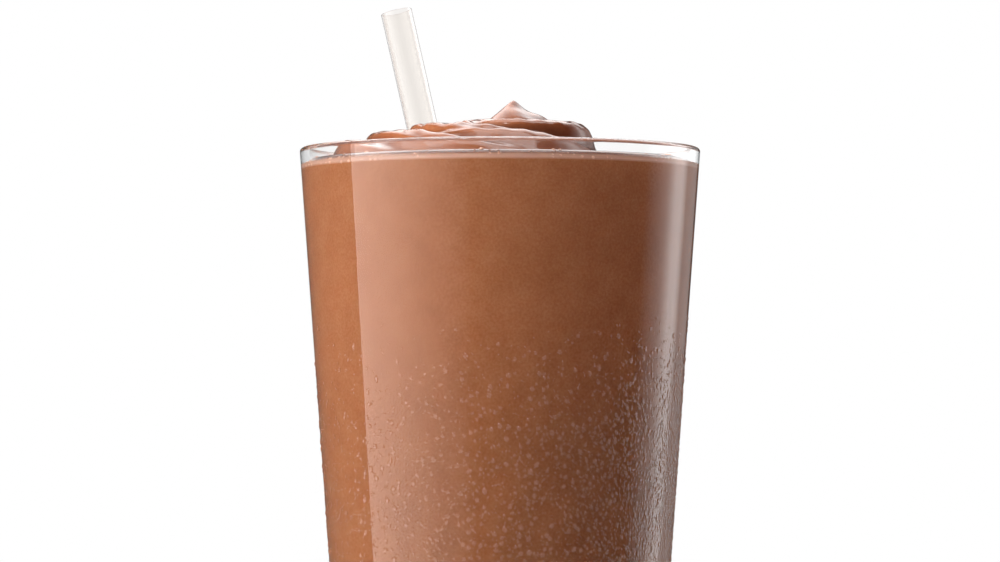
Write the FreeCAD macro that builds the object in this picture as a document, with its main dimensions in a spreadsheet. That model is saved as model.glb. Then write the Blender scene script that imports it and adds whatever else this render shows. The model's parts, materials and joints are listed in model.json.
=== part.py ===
"""Chocolate milkshake in a tall clear tumbler, with a swirl on top and a straight clear straw.

Millimetres. The origin is the middle of the glass's foot, +Z is up, and +X is to the right when the
straw leans to the left. Each piece is an object of the document, and its sizes are in the sheet.
"""
import FreeCAD, Part
import math
import os

import Sketcher
from FreeCAD import Placement, Rotation, Vector

doc = FreeCAD.newDocument("milkshake")


# The driving dimensions, in millimetres and degrees

SIZES = [
    # the glass: a pressed tumbler, tapered, with a thick floor and a fire-polished lip
    ("rim_radius", 44.0),
    ("glass_height", 158.0),
    ("side_taper", 4.17),
    ("rim_wall", 2.0),
    ("floor_wall", 2.8),
    ("floor_thickness", 12.0),
    ("punt_radius", 25.0),
    ("punt_depth", 1.6),
    ("lip_round", 0.9),
    ("heel_round", 3.0),
    ("floor_round", 9.0),
    # the drink: its level below the rim, and the swirl above that level
    ("drink_drop", 2.5),
    ("fold_x", -7.5),
    ("fold_y", 0.0),
    ("fold_radius", 30.3),
    ("fold_height", 5.4),
    ("fold_edge", 7.0),
    ("coil_radius", 20.9),
    ("coil_height", 2.2),
    ("coil_edge", 4.0),
    ("peak_x", 3.0),
    ("peak_y", -1.0),
    ("peak_height", 5.2),
    ("peak_reach", 4.6),
    ("peak_tip", 0.6),
    ("groove_pitch", 9.5),
    ("groove_depth", 1.4),
    # the straw: where its lower end stands, and how it leans
    ("straw_radius", 3.45),
    ("straw_wall", 0.3),
    ("straw_length", 178.0),
    ("straw_foot_x", 16.0),
    ("straw_foot_y", -2.4),
    ("straw_foot_z", 16.0),
    ("straw_lean_left", 12.7),
    ("straw_lean_back", 4.8),
]

sheet = doc.addObject("Spreadsheet::Sheet", "Sizes")
for row, (name, value) in enumerate(SIZES, start=1):
    sheet.set(f"A{row}", name)
    sheet.set(f"B{row}", str(value))
    sheet.setAlias(f"B{row}", name)
doc.recompute()


def size(name):
    """The value of a driving dimension."""
    return float(sheet.get(name))


# Sketches of half sections, which a revolution about +Z turns into solids

def half_section(body, name, corners):
    """A closed sketch in the body's XZ plane through corners that expressions of the sheet place."""
    sketch = body.newObject("Sketcher::SketchObject", name)
    planes = {feature.Role: feature for feature in body.Origin.OriginFeatures}
    sketch.AttachmentSupport = [(planes["XZ_Plane"], "")]
    sketch.MapMode = "FlatFace"
    count = len(corners)
    # the sides start roughly in place, so that the solver finds the section that is meant
    rough = [Vector(10.0 * math.cos(turn), 10.0 * math.sin(turn), 0)
             for turn in (2 * math.pi * index / count for index in range(count))]
    for index in range(count):
        sketch.addGeometry(Part.LineSegment(rough[index], rough[(index + 1) % count]), False)
    for index in range(count):
        sketch.addConstraint(Sketcher.Constraint("Coincident", index, 2, (index + 1) % count, 1))
    for index, (label, across, up) in enumerate(corners):
        for kind, axis_name, formula in (("DistanceX", "across", across), ("DistanceY", "up", up)):
            number = sketch.addConstraint(Sketcher.Constraint(kind, -1, 1, index, 1, 1.0))
            sketch.renameConstraint(number, f"{label}_{axis_name}")
            sketch.setExpression(f"Constraints.{label}_{axis_name}", formula)
    return sketch


def revolved(name, corners):
    """A body that is the half section turned once about +Z."""
    body = doc.addObject("PartDesign::Body", name)
    sketch = half_section(body, f"{name}_section", corners)
    turn = body.newObject("PartDesign::Revolution", f"{name}_turned")
    turn.Profile = sketch
    turn.ReferenceAxis = (sketch, ["V_Axis"])
    turn.Angle = 360.0
    doc.recompute()
    return body, turn


def circle_edges(feature, radius, height):
    """Names of the feature's circular edges with this radius at this height."""
    found = []
    for number, edge in enumerate(feature.Shape.Edges, start=1):
        curve = edge.Curve
        if not isinstance(curve, Part.Circle):
            continue
        if abs(curve.Radius - radius) < 0.01 and abs(curve.Center.z - height) < 0.01:
            found.append(f"Edge{number}")
    return found


def rounded(body, feature, name, size_name, circles):
    """A fillet, as large as the sheet says, on the circles given as (radius, height)."""
    edges = [edge for radius, height in circles for edge in circle_edges(feature, radius, height)]
    fillet = body.newObject("PartDesign::Fillet", name)
    fillet.Base = (feature, edges)
    fillet.setExpression("Radius", f"Sizes.{size_name}")
    doc.recompute()
    return fillet


# The glass: one half section, turned, with its lip, heel and inside corner rounded

FOOT_RADIUS = "(Sizes.rim_radius - Sizes.glass_height * tan(Sizes.side_taper * 1 deg))"
FLOOR_RADIUS = (f"({FOOT_RADIUS} + Sizes.floor_thickness * tan(Sizes.side_taper * 1 deg)"
                " - Sizes.floor_wall)")
MOUTH_RADIUS = "(Sizes.rim_radius - Sizes.rim_wall)"

rim_radius = size("rim_radius")
glass_height = size("glass_height")
floor_thickness = size("floor_thickness")
foot_radius = rim_radius - glass_height * math.tan(math.radians(size("side_taper")))
floor_radius = (foot_radius + floor_thickness * math.tan(math.radians(size("side_taper")))
                - size("floor_wall"))

glass, glass_turned = revolved("glass", [
    ("punt_middle", "0", "Sizes.punt_depth"),
    ("punt_edge", "Sizes.punt_radius", "0"),
    ("heel", FOOT_RADIUS, "0"),
    ("lip_outside", "Sizes.rim_radius", "Sizes.glass_height"),
    ("lip_inside", MOUTH_RADIUS, "Sizes.glass_height"),
    ("floor_edge", FLOOR_RADIUS, "Sizes.floor_thickness"),
    ("floor_middle", "0", "Sizes.floor_thickness"),
])
glass_lip = rounded(glass, glass_turned, "glass_lip", "lip_round",
                    [(rim_radius, glass_height), (rim_radius - size("rim_wall"), glass_height)])
glass_heel = rounded(glass, glass_lip, "glass_heel", "heel_round", [(foot_radius, 0.0)])
glass_inside = rounded(glass, glass_heel, "glass_inside", "floor_round",
                       [(floor_radius, floor_thickness)])


# The straw: a straight tube, cut square at both ends, leaning left and a little back

straw_outside = doc.addObject("Part::Cylinder", "straw_outside")
straw_outside.setExpression("Radius", "Sizes.straw_radius")
straw_outside.setExpression("Height", "Sizes.straw_length")
straw_bore = doc.addObject("Part::Cylinder", "straw_bore")
straw_bore.setExpression("Radius", "Sizes.straw_radius - Sizes.straw_wall")
straw_bore.setExpression("Height", "Sizes.straw_length")
straw = doc.addObject("Part::Cut", "straw")
straw.Base = straw_outside
straw.Tool = straw_bore
straw_direction = Vector(-math.tan(math.radians(size("straw_lean_left"))),
                         math.tan(math.radians(size("straw_lean_back"))), 1.0)
straw_foot = Vector(size("straw_foot_x"), size("straw_foot_y"), size("straw_foot_z"))
straw.Placement = Placement(straw_foot, Rotation(Vector(0, 0, 1), straw_direction))
doc.recompute()


# The drink: it fills the glass up to a surface that is level at the wall and swirled in the middle

HEADROOM = "(Sizes.glass_height + 4 * Sizes.peak_height)"
inside, inside_turned = revolved("inside", [
    ("bottom_middle", "0", "Sizes.floor_thickness"),
    ("bottom_edge", FLOOR_RADIUS, "Sizes.floor_thickness"),
    ("mouth", MOUTH_RADIUS, "Sizes.glass_height"),
    ("above_mouth", MOUTH_RADIUS, HEADROOM),
    ("above_middle", "0", HEADROOM),
])
inside_corner = rounded(inside, inside_turned, "inside_corner", "floor_round",
                        [(floor_radius, floor_thickness)])


def plump(reach):
    """The side of a soft fold: steep at its foot (reach 0) and flat where it is whole (reach 1)."""
    return 1.0 - (1.0 - min(max(reach, 0.0), 1.0)) ** 2.5


def swirl_height(x, y):
    """How far the drink stands above its level: a wide low fold, a coil on it and a drawn-up peak."""
    from_fold = math.hypot(x - size("fold_x"), y - size("fold_y"))
    fold = size("fold_height") * plump((size("fold_radius") - from_fold) / size("fold_edge"))
    coil = size("coil_height") * plump((size("coil_radius") - math.hypot(x, y)) / size("coil_edge"))
    from_peak = math.hypot(x - size("peak_x"), y - size("peak_y"))
    beyond_tip = math.hypot(from_peak, size("peak_tip")) - size("peak_tip")
    peak = size("peak_height") * math.exp(-beyond_tip / size("peak_reach"))
    turn = math.atan2(y - size("peak_y"), x - size("peak_x")) / (2 * math.pi)
    along = from_peak / size("groove_pitch") - turn
    groove = size("groove_depth") * math.cos(math.pi * along) ** 4
    groove *= min(from_peak / size("peak_reach"), 1.0) * fold / size("fold_height")
    return fold + coil + peak - groove


GRID = 64                       # points each way over the swirled surface
reach = rim_radius + 1.0        # the surface spans a little more than the mouth
level = glass_height - size("drink_drop")
steps = [reach * (2.0 * index / (GRID - 1) - 1.0) for index in range(GRID)]
surface = Part.BSplineSurface()
surface.interpolate([[Vector(x, y, level + swirl_height(x, y)) for y in steps] for x in steps])
below_surface = doc.addObject("Part::Feature", "below_surface")
below_surface.Shape = surface.toShape().extrude(Vector(0, 0, -glass_height - floor_thickness))

filled = doc.addObject("Part::Common", "filled")
filled.Base = inside
filled.Tool = below_surface
milkshake = doc.addObject("Part::Cut", "milkshake")
milkshake.Base = filled
milkshake.Tool = straw
doc.recompute()


# Every object has to be whole before anything is written

for item in doc.Objects:
    if "Invalid" in item.State or "Error" in item.State:
        raise RuntimeError(f"{item.Label} is {item.State}")

os.makedirs("parts", exist_ok=True)
for piece in (glass, milkshake, straw):
    shape = piece.Shape
    if shape.isNull() or not shape.isValid() or len(shape.Solids) != 1:
        raise RuntimeError(f"{piece.Label} is not one valid solid")
    shape.exportStep(f"parts/{piece.Label}.step")
    top = shape.BoundBox.ZMax
    print(f"{piece.Label}: {shape.Volume / 1000:.1f} ml, top at {top:.1f} mm")
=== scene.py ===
import json
import math
import random

import bmesh
import bpy
import numpy as np
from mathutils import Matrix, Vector, noise

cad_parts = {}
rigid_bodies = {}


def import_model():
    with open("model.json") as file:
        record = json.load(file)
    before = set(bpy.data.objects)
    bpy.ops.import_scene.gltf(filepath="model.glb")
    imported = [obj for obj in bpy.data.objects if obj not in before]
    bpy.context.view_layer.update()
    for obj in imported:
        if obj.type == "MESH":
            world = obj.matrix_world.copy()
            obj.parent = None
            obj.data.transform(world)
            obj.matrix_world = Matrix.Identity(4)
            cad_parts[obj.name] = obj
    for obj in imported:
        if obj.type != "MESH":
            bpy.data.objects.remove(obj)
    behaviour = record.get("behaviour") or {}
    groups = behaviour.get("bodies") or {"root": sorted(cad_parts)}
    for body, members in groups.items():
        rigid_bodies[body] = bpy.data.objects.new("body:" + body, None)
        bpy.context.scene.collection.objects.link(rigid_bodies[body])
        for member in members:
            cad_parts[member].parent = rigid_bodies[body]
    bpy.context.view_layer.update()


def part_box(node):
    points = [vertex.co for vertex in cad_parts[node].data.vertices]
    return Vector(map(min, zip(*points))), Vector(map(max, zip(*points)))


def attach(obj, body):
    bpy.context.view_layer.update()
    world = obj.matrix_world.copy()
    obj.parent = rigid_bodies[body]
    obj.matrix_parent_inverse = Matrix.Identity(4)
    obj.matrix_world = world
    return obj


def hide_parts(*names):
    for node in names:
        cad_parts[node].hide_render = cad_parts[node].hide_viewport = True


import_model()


# The tumbler is clear soda-lime glass, pressed with a thick foot and a thinner tapered side.
# Its lip is fire-polished round, its heel is rounded, and a shallow punt lifts the middle of its foot.
# It is one half section, with its corners rounded, turned once round the glass's axis.

MM = 0.001
TURN_STEPS = 240                       # steps round each turned piece

glass_low, glass_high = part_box("glass")
rim_z = glass_high.z
rim_radius = 44.0 * MM
rim_wall, floor_wall = 2.0 * MM, 2.8 * MM
side_slope = math.tan(math.radians(4.17))
mouth_radius = rim_radius - rim_wall
floor_z = glass_low.z + 12.0 * MM
foot_radius = rim_radius - rim_z * side_slope
floor_radius = foot_radius + floor_z * side_slope - floor_wall
punt_radius, punt_depth = 25.0 * MM, 1.6 * MM
lip_round, heel_round, punt_round = 0.9 * MM, 3.0 * MM, 2.0 * MM
floor_round = 8.4 * MM


def draw_section(name, points):
    """A new object of edges from point to point in the XZ plane, left in edit mode."""
    bpy.ops.object.select_all(action="DESELECT")
    first = points[0]
    bpy.ops.mesh.primitive_plane_add(size=MM, location=(0.0, 0.0, 0.0))
    piece = bpy.context.object
    piece.name = piece.data.name = name
    bpy.ops.object.mode_set(mode="EDIT")
    bpy.ops.mesh.select_mode(type="VERT")
    bpy.ops.mesh.select_all(action="SELECT")
    bpy.ops.mesh.merge(type="CENTER")
    bpy.ops.transform.translate(value=(first[0], 0.0, first[1]))
    for before, after in zip(points, points[1:]):
        step = (after[0] - before[0], 0.0, after[1] - before[1])
        bpy.ops.mesh.extrude_vertices_move(TRANSFORM_OT_translate={"value": step})
    return piece


def select_points(piece, keep):
    """Selects the vertices, and the edges between them, whose place passes the test keep."""
    bpy.ops.mesh.select_mode(type="VERT")
    bpy.ops.mesh.select_all(action="DESELECT")
    shape = bmesh.from_edit_mesh(piece.data)
    for vertex in shape.verts:
        vertex.select = keep(vertex.co)
    shape.select_flush(True)
    bmesh.update_edit_mesh(piece.data)


def round_corner(piece, place, reach, steps):
    """Rounds the section's corner at place, starting as far from it as reach."""
    corner = Vector((place[0], 0.0, place[1]))
    select_points(piece, lambda co: (co - corner).length < 0.01 * MM)
    bpy.ops.mesh.bevel(offset=reach, offset_type="OFFSET", segments=steps, affect="VERTICES")


def turn_section(piece, steps):
    """Turns the section in edit mode once round +Z, closes its seam and poles, and leaves edit mode."""
    bpy.ops.mesh.select_all(action="SELECT")
    bpy.ops.mesh.spin(steps=steps, angle=2 * math.pi, center=(0.0, 0.0, 0.0), axis=(0.0, 0.0, 1.0))
    bpy.ops.mesh.select_all(action="SELECT")
    bpy.ops.mesh.remove_doubles(threshold=0.002 * MM)
    bpy.ops.mesh.normals_make_consistent(inside=False)
    bpy.ops.object.mode_set(mode="OBJECT")
    bpy.ops.object.shade_smooth_by_angle(angle=math.radians(40.0))


def weigh_normals(piece):
    """Lets the widest faces set the shading along their edges, so that long sides shine straight."""
    bpy.ops.object.select_all(action="DESELECT")
    bpy.context.view_layer.objects.active = piece
    piece.select_set(True)
    even = piece.modifiers.new("even_shine", "WEIGHTED_NORMAL")
    even.keep_sharp = True
    bpy.ops.object.modifier_apply(modifier="even_shine")


lip_outside = (rim_radius, rim_z)
lip_inside = (mouth_radius, rim_z)
heel = (foot_radius, 0.0)
punt_edge = (punt_radius, 0.0)
floor_corner = (floor_radius, floor_z)
tumbler = draw_section("tumbler", [
    (0.0, punt_depth), punt_edge, heel, lip_outside, lip_inside, floor_corner, (0.0, floor_z)])
round_corner(tumbler, lip_outside, lip_round, 7)
round_corner(tumbler, lip_inside, lip_round, 7)
round_corner(tumbler, heel, heel_round, 8)
round_corner(tumbler, punt_edge, punt_round, 4)
round_corner(tumbler, floor_corner, floor_round, 12)
turn_section(tumbler, TURN_STEPS)
weigh_normals(tumbler)


def linear(hex_colour):
    """The linear colour of an sRGB hex value, with full alpha."""
    channels = [int(hex_colour[place:place + 2], 16) / 255 for place in (1, 3, 5)]
    return [c / 12.92 if c <= 0.04045 else ((c + 0.055) / 1.055) ** 2.4 for c in channels] + [1.0]


def add_node(tree, kind, settings=None, links=None):
    """Adds a node, sets its properties or input values, and links other nodes' outputs into it."""
    made = tree.nodes.new(kind)
    for key, value in (settings or {}).items():
        if isinstance(key, str) and hasattr(made, key):
            setattr(made, key, value)
        else:
            made.inputs[key].default_value = value
    for key, source in (links or {}).items():
        tree.links.new(source, made.inputs[key])
    return made


def new_material(name, settings):
    """A material of that name with one Principled shader, and that shader and its tree."""
    material = bpy.data.materials.new(name)
    material.use_nodes = True
    tree = material.node_tree
    shader = tree.nodes["Principled BSDF"]
    for key, value in settings.items():
        shader.inputs[key].default_value = value
    return material, tree, shader


# Soda-lime glass, pressed and fire polished: it bends what is behind it, mirrors the lights sharply,
# and ripples them very slightly where the mould's chill has left the side uneven.
glass_look, tree, shader = new_material("soda lime glass, fire polished", {
    "Base Color": linear("#FFFFFF"), "Roughness": 0.01, "IOR": 1.5, "Transmission Weight": 1.0})
place = add_node(tree, "ShaderNodeTexCoord")
ripple = add_node(tree, "ShaderNodeTexNoise", {"Scale": 1 / (14.0 * MM), "Detail": 1.0},
                  {"Vector": place.outputs["Object"]})
bump = add_node(tree, "ShaderNodeBump", {"Strength": 0.06, "Distance": 0.4 * MM},
                {"Height": ripple.outputs["Fac"]})
tree.links.new(bump.outputs["Normal"], shader.inputs["Normal"])
tumbler.data.materials.append(glass_look)

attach(tumbler, "root")
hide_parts("glass")


# The drink is thick chocolate milk, whipped with fine bubbles, poured to just under the rim.
# It wets the wall all round, and its top edge is a plump round shoulder that stands off the glass.
# The last of it was let fall in a coil, so that a wide low fold, a coil and a drawn-up peak stand on it.

IN_WALL = 0.25 * MM                    # how far the drink reaches into the glass's wall
SHOULDER = 1.9 * MM                    # where the drink's edge leaves the wall, under its level
level_z = rim_z - 2.5 * MM
drink_radius = mouth_radius - (rim_z - level_z) * side_slope + IN_WALL
drink_steps = 320                      # steps round the drink
surface_rings = 104                    # rings that its top is divided into, to be shaped

bottom_edge = (floor_radius + IN_WALL, floor_z - IN_WALL)
level_edge = (drink_radius, level_z)
drink = draw_section("drink", [(0.0, floor_z - IN_WALL), bottom_edge, level_edge, (0.0, level_z)])
round_corner(drink, bottom_edge, floor_round, 12)
round_corner(drink, level_edge, SHOULDER, 7)
select_points(drink, lambda co: co.z > level_z - 0.01 * MM)
bpy.ops.mesh.subdivide(number_cuts=surface_rings)
turn_section(drink, drink_steps)

fold_middle = Vector((-7.2, 0.0)) * MM
fold_radius, fold_height, fold_edge = 30.0 * MM, 5.4 * MM, 8.0 * MM
coil_radius, coil_height, coil_edge = 20.6 * MM, 2.0 * MM, 4.5 * MM
peak_middle = Vector((3.0, -1.0)) * MM
peak_height, peak_tip, peak_reach = 5.6 * MM, 0.5 * MM, 5.2 * MM
groove_pitch, groove_depth, groove_lean = 9.5 * MM, 2.1 * MM, 1.6 * MM
ridge_depth = 0.35 * MM
lump_size, lump_height = 3.2 * MM, 0.55 * MM


def plump(reach):
    """The side of a soft fold: steep at its foot (reach 0) and flat where it is whole (reach 1)."""
    return 1.0 - (1.0 - min(max(reach, 0.0), 1.0)) ** 2.5


def unevenness(angle, phase):
    """A slow waver round the coil, between -1 and 1."""
    return 0.5 * math.sin(2 * angle + phase) + 0.3 * math.sin(3 * angle + 2.1 * phase) \
        + 0.2 * math.sin(5 * angle - 1.3 * phase)


def swirl(spot):
    """How far the drink's surface is lifted at a spot, which way it is pushed out from the peak, and how
    deep the spot lies in a fold, which sets the painted shade there."""
    angle = math.atan2(spot.y, spot.x)
    from_fold = (spot - fold_middle).length + 1.0 * MM * unevenness(angle, 0.7)
    fold = fold_height * plump((fold_radius - from_fold) / fold_edge)
    from_middle = spot.length + 0.5 * MM * unevenness(angle, 2.9)
    coil = coil_height * plump((coil_radius - from_middle) / coil_edge)
    away = spot - peak_middle
    beyond_tip = math.hypot(away.length, peak_tip) - peak_tip
    peak = peak_height * math.exp(-beyond_tip / peak_reach)
    along = away.length / groove_pitch - math.atan2(away.y, away.x) / (2 * math.pi)
    groove = abs(math.cos(math.pi * along)) ** 5 * min(away.length / (9 * MM), 1.0) ** 2
    groove *= fold / fold_height
    crest = (1.0 - groove) * (fold + coil) / (fold_height + coil_height)
    push = away.normalized() * groove_lean * crest * min(away.length / (15 * MM), 1.0) ** 2
    ridge = math.cos(math.pi * (2.5 * along + 0.5 * unevenness(angle, 4.0))) ** 4
    ridges = ridge_depth * ridge * crest * min(away.length / (9 * MM), 1.0) ** 2
    lump = noise.noise(Vector((spot.x, spot.y, 0.0)) / lump_size)
    lumps = lump_height * lump * crest * min(away.length / (6 * MM), 1.0)
    fold_shade_depth = groove + 0.4 * ridge * crest - 0.5 * lump * crest
    return fold + coil + peak - groove_depth * groove - ridges + lumps, push, fold_shade_depth


swirl_limit = drink_radius - SHOULDER - 1.0 * MM
# Each spot's depth in a fold is kept on the mesh, so that shade can be painted there.
fold_shade = drink.data.attributes.new("fold_shade", "FLOAT", "POINT")
for vertex in drink.data.vertices:
    spot = vertex.co.to_2d()
    if vertex.co.z > level_z - 0.01 * MM and spot.length < swirl_limit:
        lift, push, fold_shade.data[vertex.index].value = swirl(spot)
        vertex.co += Vector((push.x, push.y, lift))
weigh_normals(drink)

# Chocolate milk, whipped: opaque, warm brown, and a little soft to the light. Where it lies against the
# glass it has no shine of its own, and its finest bubbles show as specks half a millimetre across.
MILK_AT_GLASS = ("#9A6340", "#A8714D", "#B37F5B")
# Painted shade: the wet top is a darker brown than the same drink at the glass, for the lesser light that
# falls on it.
MILK_WHIPPED_SHADED = ("#7F4A2D", "#8E5738", "#9D6644")
# Painted shade: this dark brown is laid in the swirl's folds and along the line where the drink's edge
# leaves the glass.
PAINTED_SHADE_BROWN = "#4A2315"
# The lightest froth shade also paints the pale line under the drink's edge, partly froth and partly painted
# highlight.
FROTH_AND_EDGE_HIGHLIGHT_SHADES = ("#BE8C6E", "#D3A58A", "#E6C3AE")


def edge_lines(tree, place, brown):
    """The brown with two lines painted along the drink's edge: a pale line just under the edge, partly
    froth and partly painted highlight, and painted shade where the edge leaves the glass."""
    high = add_node(tree, "ShaderNodeSeparateXYZ", {}, {"Vector": place.outputs["Object"]})
    edge = add_node(tree, "ShaderNodeMapRange", {
        "From Min": level_z - 2.5 * MM, "From Max": level_z + 0.1 * MM}, {"Value": high.outputs["Z"]})
    lines = add_node(tree, "ShaderNodeValToRGB", {}, {"Fac": edge.outputs["Result"]})
    # Red marks the pale line, partly painted highlight; green marks the painted shade where the edge leaves
    # the glass.
    for way, fill in ((0.12, 0.0), (0.3, 1.0), (0.55, 0.8), (0.66, 0.0)):
        stop = lines.color_ramp.elements.new(way)
        stop.color = (fill, 0.0, 0.0, 1.0)
    for way, fill in ((0.74, 1.0), (0.93, 0.9), (0.97, 0.0)):
        stop = lines.color_ramp.elements.new(way)
        stop.color = (0.0, fill, 0.0, 1.0)
    lines.color_ramp.elements[0].color = lines.color_ramp.elements[-1].color = (0.0, 0.0, 0.0, 1.0)
    line = add_node(tree, "ShaderNodeSeparateColor", {}, {"Color": lines.outputs["Color"]})
    pale = add_node(tree, "ShaderNodeMath", {"operation": "MULTIPLY", 1: 0.6}, {0: line.outputs["Red"]})
    dim = add_node(tree, "ShaderNodeMath", {"operation": "MULTIPLY", 1: 0.6}, {0: line.outputs["Green"]})
    froth_and_highlight = add_node(tree, "ShaderNodeMix", {"data_type": "RGBA", 7: linear(FROTH_AND_EDGE_HIGHLIGHT_SHADES[2])},
                       {0: pale.outputs["Value"], 6: brown})
    edged = add_node(tree, "ShaderNodeMix", {"data_type": "RGBA", 7: linear(PAINTED_SHADE_BROWN)},
                     {0: dim.outputs["Value"], 6: froth_and_highlight.outputs[2]})
    return edged.outputs[2]


def milk_colour(tree, shades, speck_size, speck_strength):
    """The drink's brown, from dark to light in soft mottling with fine specks, with the lines of painted
    shade and highlight along its edge; gives it and the specks.
    """
    place = add_node(tree, "ShaderNodeTexCoord")
    mottle = add_node(tree, "ShaderNodeTexNoise", {"Scale": 1 / (6.0 * MM), "Detail": 3.0},
                      {"Vector": place.outputs["Object"]})
    tone = add_node(tree, "ShaderNodeMapRange",
                    {"From Min": 0.3, "From Max": 0.7, "To Min": 0.35, "To Max": 0.65},
                    {"Value": mottle.outputs["Fac"]})
    speck = add_node(tree, "ShaderNodeTexNoise", {"Scale": 1 / speck_size, "Detail": 2.0},
                     {"Vector": place.outputs["Object"]})
    grain = add_node(tree, "ShaderNodeMapRange", {
        "From Min": 0.3, "From Max": 0.7, "To Min": -speck_strength, "To Max": speck_strength},
        {"Value": speck.outputs["Fac"]})
    both = add_node(tree, "ShaderNodeMath", {"operation": "ADD", "use_clamp": True},
                    {0: tone.outputs["Result"], 1: grain.outputs["Result"]})
    ramp = add_node(tree, "ShaderNodeValToRGB", {}, {"Fac": both.outputs["Value"]})
    dark, brown, light = shades
    ramp.color_ramp.elements[0].color = linear(dark)
    ramp.color_ramp.elements[1].color = linear(light)
    ramp.color_ramp.elements.new(0.5).color = linear(brown)
    return edge_lines(tree, place, ramp.outputs["Color"]), speck.outputs["Fac"]


# The drink at the glass: its brown carries the painted shade and the partly painted highlight along its
# edge.
side_look, tree, shader = new_material("chocolate milk against glass", {
    "Roughness": 0.6, "IOR": 1.35, "Specular IOR Level": 0.0,
    "Subsurface Weight": 0.25, "Subsurface Scale": 1.5 * MM, "Subsurface Radius": (1.0, 0.45, 0.25)})
colour, specks = milk_colour(tree, MILK_AT_GLASS, 0.5 * MM, 0.25)
tree.links.new(colour, shader.inputs["Base Color"])

wet_look, tree, shader = new_material("chocolate milk, wet and whipped, shade painted on", {
    "Roughness": 0.1, "IOR": 1.42, "Subsurface Weight": 0.2, "Subsurface Scale": 1.0 * MM,
    "Subsurface Radius": (1.0, 0.45, 0.25)})
colour, specks = milk_colour(tree, MILK_WHIPPED_SHADED, 0.7 * MM, 0.15)
# Painted shade: the brown darkens with each spot's depth in a fold of the swirl.
fold_shade_mask = add_node(tree, "ShaderNodeAttribute", {"attribute_name": "fold_shade"})
depth = add_node(tree, "ShaderNodeMapRange", {
    "From Min": 0.05, "From Max": 0.9, "To Min": 0.0, "To Max": 0.75}, {"Value": fold_shade_mask.outputs["Fac"]})
shaded = add_node(tree, "ShaderNodeMix", {"data_type": "RGBA", 7: linear(PAINTED_SHADE_BROWN)},
                  {0: depth.outputs["Result"], 6: colour})
tree.links.new(shaded.outputs[2], shader.inputs["Base Color"])
skin = add_node(tree, "ShaderNodeBump", {"Strength": 0.25, "Distance": 0.08 * MM}, {"Height": specks})
tree.links.new(skin.outputs["Normal"], shader.inputs["Normal"])

drink.data.materials.append(side_look)
drink.data.materials.append(wet_look)
for face in drink.data.polygons:
    face.material_index = int(face.center.z > level_z - SHOULDER)

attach(drink, "root")
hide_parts("milkshake")

# Froth: bubbles that the pouring has left along the drink's edge, against the glass, in loose bunches.
froth_bunches = 40
froth_random = random.Random(3)
bpy.ops.object.select_all(action="DESELECT")
for bunch in range(froth_bunches):
    bunch_angle = froth_random.uniform(-math.pi, math.pi)
    for bubble in range(froth_random.randint(2, 7)):
        angle = bunch_angle + froth_random.gauss(0.0, 0.045)
        size = froth_random.uniform(0.2, 0.55) * MM
        under = froth_random.uniform(0.0, 1.0) * SHOULDER
        inward = SHOULDER - math.sqrt(SHOULDER ** 2 - (SHOULDER - under) ** 2)
        radius = drink_radius - IN_WALL - inward - 0.35 * size
        bpy.ops.mesh.primitive_ico_sphere_add(
            subdivisions=2, radius=size, enter_editmode=False,
            location=(radius * math.cos(angle), radius * math.sin(angle), level_z - under))
        ball = bpy.context.object
        ball.scale = (1.0, 1.0, froth_random.uniform(0.7, 0.95))
        ball.name = "edge_froth_part"
for ball in bpy.data.objects:
    ball.select_set(ball.name.startswith("edge_froth_part"))
bpy.ops.object.join()
edge_froth = bpy.context.object
edge_froth.name = edge_froth.data.name = "edge_froth"
bpy.ops.object.transform_apply(location=True, rotation=True, scale=True)
bpy.ops.object.shade_smooth()

# Milk froth: thin bubbles of the drink, paler than it, and shiny.
froth_look, tree, shader = new_material("milk froth, wet", {
    "Roughness": 0.08, "IOR": 1.38, "Subsurface Weight": 0.3, "Subsurface Scale": 0.6 * MM,
    "Subsurface Radius": (1.0, 0.6, 0.4)})
# The froth's brown carries the same painted lines along the drink's edge.
colour, specks = milk_colour(tree, FROTH_AND_EDGE_HIGHLIGHT_SHADES, 0.6 * MM, 0.3)
tree.links.new(colour, shader.inputs["Base Color"])
edge_froth.data.materials.append(froth_look)
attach(edge_froth, "root")


# The straw is a straight tube of clear extruded plastic with a thin wall, cut square at both ends.
# It stands in the thick drink and leans to the left and a little back.

straw_radius = 3.45 * MM
straw_wall = 0.3 * MM
straw_length = 178.0 * MM
straw_foot = Vector((16.0, -2.4, 16.0)) * MM
straw_lean = Vector((-math.tan(math.radians(12.7)), math.tan(math.radians(4.8)), 1.0))

bpy.ops.object.select_all(action="DESELECT")
bpy.ops.mesh.primitive_cylinder_add(vertices=72, radius=straw_radius, depth=straw_length,
                                    end_fill_type="NOTHING", location=(0.0, 0.0, straw_length / 2))
straw_tube = bpy.context.object
straw_tube.name = straw_tube.data.name = "straw_tube"
bpy.ops.object.transform_apply(location=True, rotation=True, scale=True)
wall = straw_tube.modifiers.new("wall", "SOLIDIFY")
wall.thickness = straw_wall
wall.offset = -1.0
soft_cut = straw_tube.modifiers.new("soft_cut", "BEVEL")
soft_cut.width = 0.06 * MM
soft_cut.segments = 2
soft_cut.limit_method = "ANGLE"
for modifier in ("wall", "soft_cut"):
    bpy.ops.object.modifier_apply(modifier=modifier)
bpy.ops.object.shade_smooth_by_angle(angle=math.radians(35.0))
weigh_normals(straw_tube)
straw_tube.rotation_mode = "QUATERNION"
straw_tube.rotation_quaternion = Vector((0, 0, 1)).rotation_difference(straw_lean)
straw_tube.location = straw_foot
bpy.ops.object.transform_apply(location=True, rotation=True, scale=True)

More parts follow.
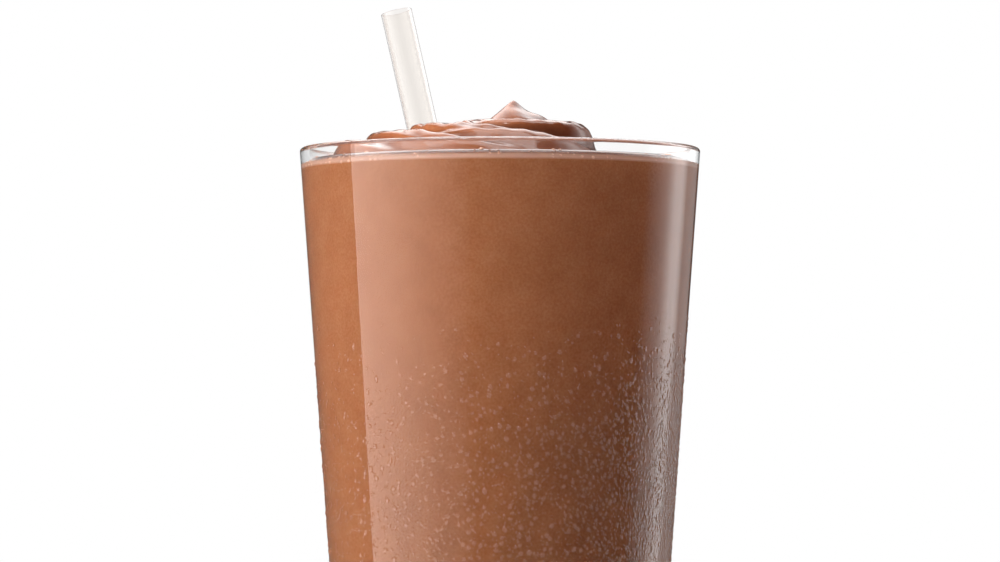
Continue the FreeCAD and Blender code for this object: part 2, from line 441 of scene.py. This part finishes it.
# Clear polypropylene, extruded: glassy but faintly milky, with its draw lines along it.
straw_look, tree, shader = new_material("clear polypropylene, extruded", {
    "Base Color": linear("#F7F4F1"), "Roughness": 0.03, "IOR": 1.35, "Transmission Weight": 1.0})
place = add_node(tree, "ShaderNodeTexCoord")
along_straw = add_node(tree, "ShaderNodeMapping", {"Scale": (1.0, 1.0, 0.02)},
                       {"Vector": place.outputs["Object"]})
along_straw.inputs["Rotation"].default_value = (0.0, math.radians(12.7), 0.0)
lines = add_node(tree, "ShaderNodeTexNoise", {"Scale": 1 / (1.0 * MM), "Detail": 2.0},
                 {"Vector": along_straw.outputs["Vector"]})
bump = add_node(tree, "ShaderNodeBump", {"Strength": 0.1, "Distance": 0.02 * MM},
                {"Height": lines.outputs["Fac"]})
tree.links.new(bump.outputs["Normal"], shader.inputs["Normal"])
straw_tube.data.materials.append(straw_look)

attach(straw_tube, "root")
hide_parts("straw")


# Dew is water that the cold glass has drawn from the air: flat domes of it, closest low down and at the
# right, none on the top of the glass. Fine beads lie between larger ones, and some have run together.

DEW_TOP = 122.0 * MM                   # no dew above this
dew_random = random.Random(7)


def dome(name, sides, rings, contact):
    """A round bead of unit radius on the plane z = 0, which it meets at the contact angle, closed below."""
    bpy.ops.object.select_all(action="DESELECT")
    bpy.ops.mesh.primitive_circle_add(vertices=sides, radius=1.0, fill_type="NGON")
    piece = bpy.context.object
    piece.name = piece.data.name = name
    bpy.ops.object.mode_set(mode="EDIT")
    bpy.ops.mesh.select_all(action="SELECT")
    before = (1.0, 0.0)
    for ring in range(1, rings + 1):
        slant = contact * (1.0 - ring / (rings + 0.35))
        across = math.sin(slant) / math.sin(contact)
        up = (math.cos(slant) - math.cos(contact)) / math.sin(contact)
        bpy.ops.mesh.extrude_region_move(TRANSFORM_OT_translate={"value": (0, 0, up - before[1])})
        bpy.ops.transform.resize(value=(across / before[0],) * 2 + (1.0,), center_override=(0, 0, 0))
        before = (across, up)
    bpy.ops.mesh.select_all(action="SELECT")
    bpy.ops.mesh.normals_make_consistent(inside=False)
    bpy.ops.object.mode_set(mode="OBJECT")
    return piece


def strew(name, pattern, places):
    """One mesh of the pattern copied to each place, a (point, across, along, out) set of vectors."""
    corners = np.array([vertex.co for vertex in pattern.data.vertices])
    faces = [list(face.vertices) for face in pattern.data.polygons]
    count = len(corners)
    axes = np.array([[across, along, out] for point, across, along, out in places])
    points = np.array([point for point, across, along, out in places])
    copies = np.einsum("vk,pkj->pvj", corners, axes) + points[:, None, :]
    joined = bpy.data.meshes.new(name)
    joined.from_pydata(copies.reshape(-1, 3).tolist(), [],
                       [[number + copy * count for number in face]
                        for copy in range(len(places)) for face in faces])
    round_faces = [face.normal.z > -0.5 for face in pattern.data.polygons]
    joined.polygons.foreach_set("use_smooth", round_faces * len(places))
    piece = bpy.data.objects.new(name, joined)
    bpy.context.scene.collection.objects.link(piece)
    bpy.data.objects.remove(pattern)
    return piece


def on_glass(angle, z, sink):
    """A point on the tumbler's side, sunk a little into it, and the ways round, up and out there."""
    radius = foot_radius + z * side_slope - sink
    out = Vector((math.cos(angle), math.sin(angle), -side_slope)).normalized()
    around = Vector((-math.sin(angle), math.cos(angle), 0.0))
    up = out.cross(around)
    return Vector((radius * math.cos(angle), radius * math.sin(angle), z)), around, up, out


def dew_density(angle, z):
    """How closely dew lies, from 0 to 1: more low down, most to the right and least to the left."""
    height = min(max((DEW_TOP - z) / (30.0 * MM), 0.0), 1.0)
    right, left = max(math.cos(angle), 0.0), max(-math.cos(angle), 0.0)
    return height ** 1.5 * (0.2 + 0.8 * right ** 2 - 0.12 * left)


def scatter_dew(count, low_size, high_size, stretch, spacing, taken):
    """Places for beads of a size range, kept off the beads that lie there already."""
    places = []
    tries = 0
    while len(places) < count and tries < 60 * count:
        tries += 1
        angle = dew_random.uniform(-math.pi, math.pi)
        z = dew_random.uniform(4.0 * MM, DEW_TOP)
        if dew_random.random() > dew_density(angle, z):
            continue
        size = dew_random.uniform(low_size, high_size)
        point, around, up, out = on_glass(angle, z, 0.05 * size)
        cell = tuple(int(math.floor(value / MM)) for value in point)
        near = [bead for x in (-1, 0, 1) for y in (-1, 0, 1) for z_step in (-1, 0, 1)
                for bead in taken.get((cell[0] + x, cell[1] + y, cell[2] + z_step), ())]
        if any((point - other).length < spacing * (size + other_size) for other, other_size in near):
            continue
        taken.setdefault(cell, []).append((point, size))
        wide = size * dew_random.uniform(0.85, 1.15)
        tall = size * dew_random.uniform(1.0, stretch)
        tilt = dew_random.uniform(-0.7, 0.7)
        across = around * math.cos(tilt) + up * math.sin(tilt)
        along = up * math.cos(tilt) - around * math.sin(tilt)
        places.append((point, across * wide, along * tall, out * size))
    return places


# Each kind of bead: how many, its smallest and largest radius, how drawn out it can be, its sides and
# rings, and the angle at which it meets the glass. The largest are laid first.
DEW_KINDS = [
    ("dew_large", 4000, 0.48 * MM, 0.70 * MM, 1.5, 7, 2, math.radians(33.0)),
    ("dew_middling", 5000, 0.34 * MM, 0.48 * MM, 1.5, 6, 2, math.radians(28.0)),
    ("dew_fine", 8000, 0.2 * MM, 0.34 * MM, 1.4, 6, 1, math.radians(28.0)),
]
DEW_SPACING = 0.84                     # least distance between two beads, over the sum of their radii

# Water: clear, smooth, and less strongly bending than glass.
water_look, tree, shader = new_material("water, condensed", {
    "Base Color": linear("#FFFFFF"), "Roughness": 0.0, "IOR": 1.333, "Transmission Weight": 1.0})
beads_taken = {}
for name, count, low_size, high_size, stretch, sides, rings, contact in DEW_KINDS:
    places = scatter_dew(count, low_size, high_size, stretch, DEW_SPACING, beads_taken)
    piece = strew(name, dome("bead", sides, rings, contact), places)
    piece.data.materials.append(water_look)
    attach(piece, "root")


# The studio has a pale floor, a large softbox at the left whose light fades towards the viewer, a strip
# behind at the right, a small bright lamp in front overhead and a panel over the glass. The backdrop is
# white.

bpy.ops.object.select_all(action="DESELECT")
bpy.ops.mesh.primitive_plane_add(size=6.0, location=(0.0, 0.0, 0.0))
floor = bpy.context.object
floor.name = floor.data.name = "studio_floor"
floor_look, tree, shader = new_material("matt white paper", {
    "Base Color": linear("#EDEDED"), "Roughness": 0.9, "Specular IOR Level": 0.1})
floor.data.materials.append(floor_look)
floor.visible_glossy = False


def upright_lamp(name, start, end, low, high, radiance, falloff):
    """A flat lamp standing over the floor line from start to end, facing the glass, from low to high. Its
    light follows falloff, a list of (part of the way from start to end, level)."""
    start, end = Vector(start), Vector(end)
    middle, across = (start + end) / 2, (end - start).normalized()
    lamp = bpy.data.lights.new(name, "AREA")
    lamp.shape = "RECTANGLE"
    lamp.size, lamp.size_y = (end - start).length, high - low
    lamp.energy = radiance * math.pi * lamp.size * lamp.size_y
    lamp.use_nodes = True
    tree = lamp.node_tree
    spot = add_node(tree, "ShaderNodeNewGeometry")
    part = add_node(tree, "ShaderNodeSeparateXYZ", {}, {"Vector": spot.outputs["Parametric"]})
    ramp = add_node(tree, "ShaderNodeValToRGB", {}, {"Fac": part.outputs["X"]})
    stops = ramp.color_ramp.elements
    while len(stops) < len(falloff):
        stops.new(0.5)
    for stop, (way, level) in zip(stops, falloff):
        stop.position = way
        stop.color = (level, level, level, 1.0)
    tree.links.new(ramp.outputs["Color"], tree.nodes["Emission"].inputs["Color"])
    standing = bpy.data.objects.new(name, lamp)
    bpy.context.scene.collection.objects.link(standing)
    standing.location = (middle.x, middle.y, (low + high) / 2)
    standing.rotation_euler = (math.pi / 2, 0.0, math.atan2(across.y, across.x))
    standing.visible_camera = False
    return standing


def around_glass(turn, away):
    """A place on the floor, turned so many degrees to the right from the viewer's side."""
    return (away * math.sin(math.radians(turn)), -away * math.cos(math.radians(turn)))


upright_lamp("softbox_left", around_glass(-92.0, 0.55), around_glass(-14.0, 0.75), -0.4, 0.8, 2.9,
             [(0.0, 1.0), (0.25, 0.85), (0.6, 0.3), (0.95, 0.0)])
upright_lamp("strip_right", around_glass(90.0, 0.5), around_glass(158.0, 0.5), -0.4, 0.6, 2.8,
             [(0.0, 0.0), (0.17, 0.25), (0.29, 0.45), (0.435, 1.0), (0.53, 0.85), (0.65, 0.22), (1.0, 0.1)])

spark = bpy.data.lights.new("spark", "AREA")
spark.shape = "DISK"
spark.size = 0.08
spark_radiance = 25.0
spark.energy = spark_radiance * math.pi * math.pi * (spark.size / 2) ** 2
spark_object = bpy.data.objects.new("spark", spark)
bpy.context.scene.collection.objects.link(spark_object)
spark_object.location = (-0.22, -0.46, rim_z + 0.5)
to_rim = Vector((0.0, 0.0, rim_z)) - spark_object.location
spark_object.rotation_euler = to_rim.to_track_quat("-Z", "Y").to_euler()
spark_object.visible_camera = False

# A broad panel over the glass, seen only as a shine on the lip and on the wet top of the drink.
panel = bpy.data.lights.new("panel", "AREA")
panel.shape = "RECTANGLE"
panel.size, panel.size_y = 0.6, 0.3
panel_radiance = 5.5
panel.energy = panel_radiance * math.pi * panel.size * panel.size_y
panel_object = bpy.data.objects.new("panel", panel)
bpy.context.scene.collection.objects.link(panel_object)
panel_object.location = (0.0, -0.13, rim_z + 0.45)
panel_object.visible_camera = False
panel_object.visible_diffuse = False
panel_object.visible_transmission = False

# What the camera sees past the glass, or through it, is white. Mirrored in it, the room is dim but for a
# bright ceiling behind. What lights the drink comes warm from all round, most from overhead, and white
# from the left.
KEY_WAY = Vector((-0.92, -0.39, 0.08)).normalized()
ROOM_LIGHT, KEY_LIGHT, KEY_SHARPNESS = 0.15, 12.5, 8.0
world = bpy.data.worlds.new("studio")
bpy.context.scene.world = world
world.use_nodes = True
tree = world.node_tree
tree.nodes.clear()
rays = add_node(tree, "ShaderNodeLightPath")
way = add_node(tree, "ShaderNodeTexCoord")
to_ceiling = add_node(tree, "ShaderNodeVectorMath", {"operation": "DOT_PRODUCT", 1: (0.0, 0.6, 0.8)},
                      {0: way.outputs["Generated"]})
ceiling = add_node(tree, "ShaderNodeMapRange", {
    "interpolation_type": "SMOOTHSTEP", "From Min": 0.8, "From Max": 0.97, "To Min": 0.08, "To Max": 4.5},
    {"Value": to_ceiling.outputs["Value"]})
mirrored = add_node(tree, "ShaderNodeBackground", {"Color": linear("#FFFFFF")},
                    {"Strength": ceiling.outputs["Result"]})
to_key = add_node(tree, "ShaderNodeVectorMath", {"operation": "DOT_PRODUCT", 1: KEY_WAY},
                  {0: way.outputs["Generated"]})
front = add_node(tree, "ShaderNodeMath", {"operation": "MAXIMUM", 1: 0.0}, {0: to_key.outputs["Value"]})
lobe = add_node(tree, "ShaderNodeMath", {"operation": "POWER", 1: KEY_SHARPNESS},
                {0: front.outputs["Value"]})
key = add_node(tree, "ShaderNodeMath", {"operation": "MULTIPLY", 1: KEY_LIGHT}, {0: lobe.outputs["Value"]})
from_key = add_node(tree, "ShaderNodeBackground", {"Color": linear("#FFFFFF")},
                    {"Strength": key.outputs["Value"]})
over = add_node(tree, "ShaderNodeSeparateXYZ", {}, {"Vector": way.outputs["Generated"]})
fill = add_node(tree, "ShaderNodeMapRange", {
    "From Min": 0.45, "From Max": 1.0, "To Min": ROOM_LIGHT, "To Max": 4.5 * ROOM_LIGHT},
    {"Value": over.outputs["Z"]})
from_room = add_node(tree, "ShaderNodeBackground", {"Color": linear("#FFA988")},
                     {"Strength": fill.outputs["Result"]})
ambient = add_node(tree, "ShaderNodeAddShader", {}, {
    0: from_key.outputs["Background"], 1: from_room.outputs["Background"]})
white = add_node(tree, "ShaderNodeBackground", {"Color": linear("#FFFFFF"), "Strength": 1.0})
clear = add_node(tree, "ShaderNodeMath", {"operation": "MAXIMUM"}, {
    0: rays.outputs["Is Camera Ray"], 1: rays.outputs["Is Transmission Ray"]})
shown = add_node(tree, "ShaderNodeMixShader", {}, {
    0: clear.outputs["Value"], 1: mirrored.outputs["Background"], 2: white.outputs["Background"]})
shine = add_node(tree, "ShaderNodeMath", {"operation": "MAXIMUM"}, {
    0: clear.outputs["Value"], 1: rays.outputs["Is Glossy Ray"]})
straight = add_node(tree, "ShaderNodeMath", {"operation": "LESS_THAN", 1: 0.5},
                    {0: rays.outputs["Diffuse Depth"]})
unlit = add_node(tree, "ShaderNodeMath", {"operation": "MULTIPLY"},
                 {0: shine.outputs["Value"], 1: straight.outputs["Value"]})
room = add_node(tree, "ShaderNodeMixShader", {}, {
    0: unlit.outputs["Value"], 1: ambient.outputs["Shader"], 2: shown.outputs["Shader"]})
add_node(tree, "ShaderNodeOutputWorld", {}, {"Surface": room.outputs["Shader"]})

# The camera is level with the middle of the glass, far off, and looks up a little at its top.
CAMERA_AWAY = 1.322
CAMERA_HIGH = rim_z - 79.0 * MM
camera = bpy.data.cameras.new("camera")
camera.sensor_width = 36.0
camera.lens = 217.0
camera_object = bpy.data.objects.new("camera", camera)
bpy.context.scene.collection.objects.link(camera_object)
camera_object.location = (0.0, -CAMERA_AWAY, CAMERA_HIGH)
camera_object.rotation_euler = (math.radians(90.0 + 2.16), 0.0, 0.0)
bpy.context.scene.camera = camera_object
bpy.context.scene.view_settings.view_transform = "Standard"
